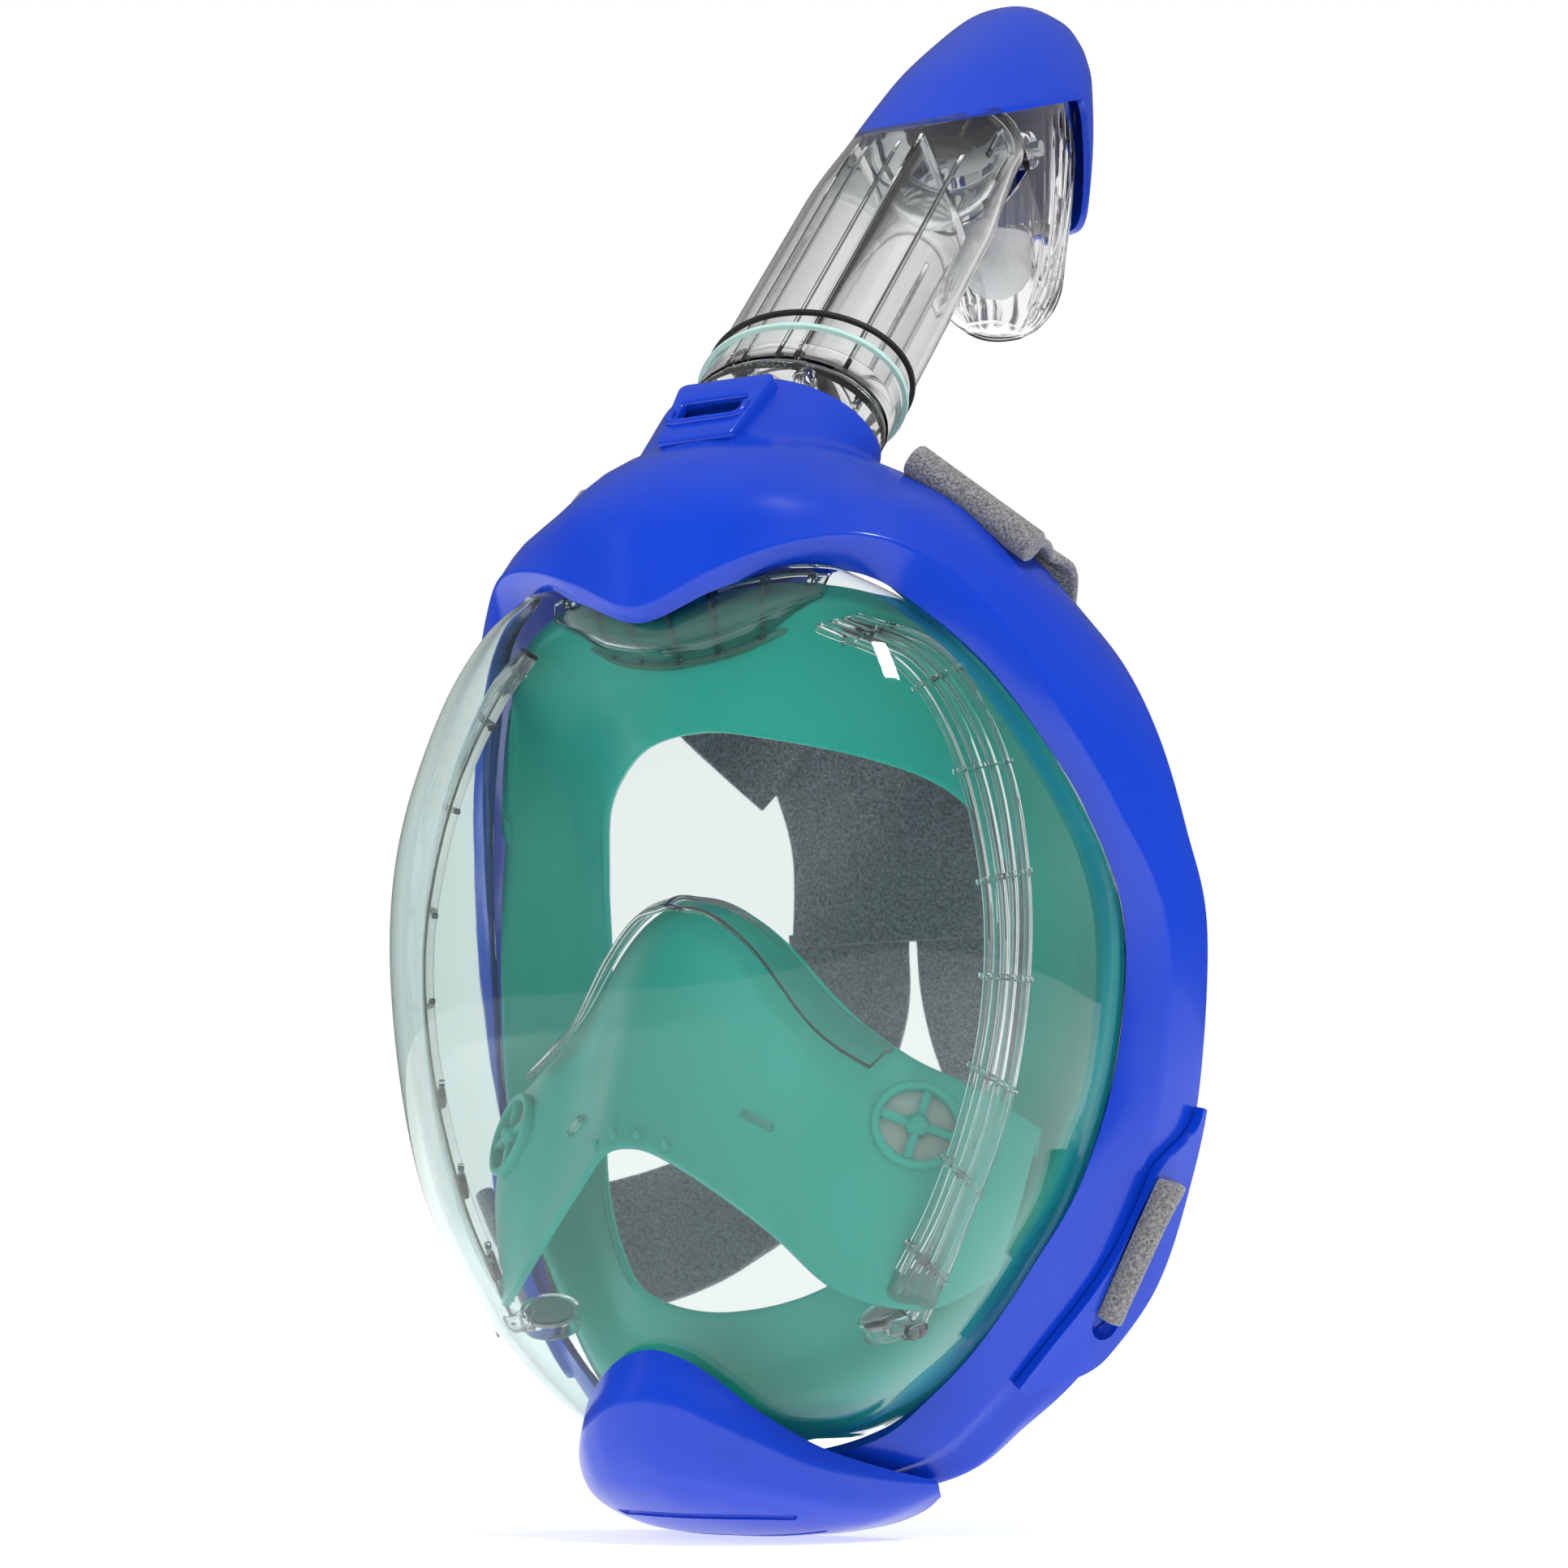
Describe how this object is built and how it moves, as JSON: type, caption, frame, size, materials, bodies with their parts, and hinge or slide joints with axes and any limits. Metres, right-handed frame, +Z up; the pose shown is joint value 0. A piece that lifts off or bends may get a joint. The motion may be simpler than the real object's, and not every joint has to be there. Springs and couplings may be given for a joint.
{
  "type": "snorkel mask",
  "caption": "Full-face snorkel mask: clear deep lens in a blue frame, silicone face skirt with nose pocket, elastic harness, and a clear oval dry-top snorkel that pulls out of a crown socket.",
  "frame": {"origin": "centre of the face opening, in the plane of the frame's rear edge at its sides", "axes": "+X to the wearer's left, +Y towards the wearer's face, +Z up to the crown"},
  "size_m": [0.192, 0.2215, 0.394],
  "materials": {
    "frame_blue": "glossy moulded ABS",
    "clear_plastic": "clear polycarbonate",
    "teal_silicone": "smooth satin silicone",
    "valve_silicone": "thin translucent silicone",
    "black_seal": "satin",
    "pale_seal": "satin silicone",
    "float_white": "moulded",
    "steel": "fine brushed",
    "webbing": "ribbed elastic webbing"
  },
  "bodies": {
    "root": {"frame": "frame_blue", "chin_cover": "frame_blue", "lens": "clear_plastic", "lens_gasket": "black_seal", "face_skirt": "teal_silicone", "nose_pocket": "teal_silicone", "pocket_bracket": "clear_plastic", "crown_duct": "clear_plastic", "channel_left": "clear_plastic", "channel_right": "clear_plastic", "drain_seat": "teal_silicone", "lower_clip_left": "frame_blue", "lower_clip_right": "frame_blue", "upper_strap_left": "webbing", "upper_strap_right": "webbing", "lower_strap_left": "webbing", "lower_strap_right": "webbing", "harness_panel": "webbing", "frame_screws": "steel"},
    "snorkel": {"snorkel_tube": "clear_plastic", "snorkel_base": "clear_plastic", "base_o_ring": "black_seal", "base_seal": "pale_seal", "dry_top_housing": "clear_plastic", "rear_grille": "clear_plastic", "snorkel_cap": "frame_blue", "float_cage": "clear_plastic", "float_pin": "steel"},
    "latch": {"latch_tongue": "clear_plastic"},
    "float_swing": {"float": "float_white", "float_arm": "float_white", "float_seal": "black_seal"},
    "inhale_left": {"inhale_valve_left": "valve_silicone"},
    "inhale_right": {"inhale_valve_right": "valve_silicone"},
    "exhale_left": {"exhale_valve_left": "valve_silicone"},
    "exhale_right": {"exhale_valve_right": "valve_silicone"},
    "drain": {"drain_valve": "valve_silicone"}
  },
  "joints": [
    {"name": "snorkel_slide", "type": "slide", "parent": "root", "child": "snorkel", "axis": [0, 0.6639, 0.7478], "range_m": [0, 0.035]},
    {"name": "latch_press", "type": "slide", "parent": "snorkel", "child": "latch", "axis": [0, 0.7478, -0.6639], "range_m": [0, 0.0015], "stiffness_N_per_m": 300},
    {"name": "float_swing_hinge", "type": "hinge", "parent": "snorkel", "child": "float_swing", "pos_m": [0, 0.077, 0.21193], "axis": [1, 0, 0], "range_deg": [0, 15]},
    {"name": "inhale_left_lift", "type": "slide", "parent": "root", "child": "inhale_left", "axis": [-0.5689, 0.7598, -0.3147], "range_m": [0, 0.0015], "stiffness_N_per_m": 40},
    {"name": "inhale_right_lift", "type": "slide", "parent": "root", "child": "inhale_right", "axis": [0.5689, 0.7598, -0.3147], "range_m": [0, 0.0015], "stiffness_N_per_m": 40},
    {"name": "exhale_left_lift", "type": "slide", "parent": "root", "child": "exhale_left", "axis": [0.2001, 0.4501, -0.8703], "range_m": [0, 0.001], "stiffness_N_per_m": 40},
    {"name": "exhale_right_lift", "type": "slide", "parent": "root", "child": "exhale_right", "axis": [-0.2001, 0.4501, -0.8703], "range_m": [0, 0.001], "stiffness_N_per_m": 40},
    {"name": "drain_lift", "type": "slide", "parent": "root", "child": "drain", "axis": [0, 0, -1], "range_m": [0, 0.001], "stiffness_N_per_m": 40}
  ]
}
